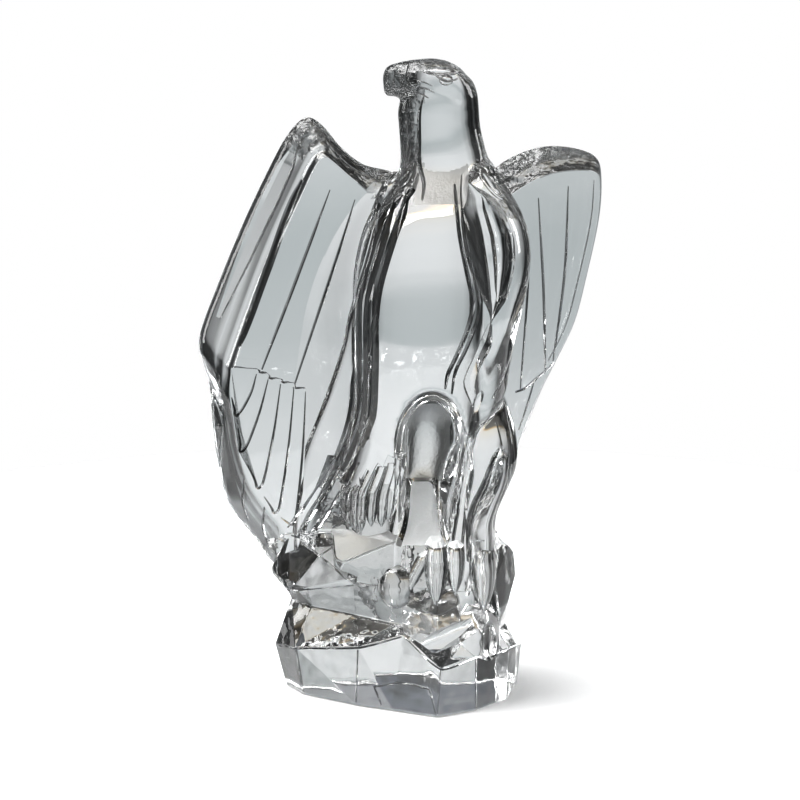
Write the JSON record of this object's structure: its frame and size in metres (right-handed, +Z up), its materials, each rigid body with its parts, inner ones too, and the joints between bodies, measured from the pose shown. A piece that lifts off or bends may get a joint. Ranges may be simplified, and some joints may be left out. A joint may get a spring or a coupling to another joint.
{
  "type": "crystal eagle figurine",
  "caption": "Clear crystal figurine of an eagle that perches on a faceted rock with raised wings and its head turned to the side.",
  "frame": {"origin": "middle of the flat underside of the rock", "axes": "+Z up, the eagle's chest faces -Y, and its head is turned towards -X"},
  "size_m": [0.1535, 0.0689, 0.2452],
  "materials": {
    "crystal": "clear, polished"
  },
  "bodies": {
    "root": {"crystal_eagle": "crystal"}
  },
  "joints": []
}
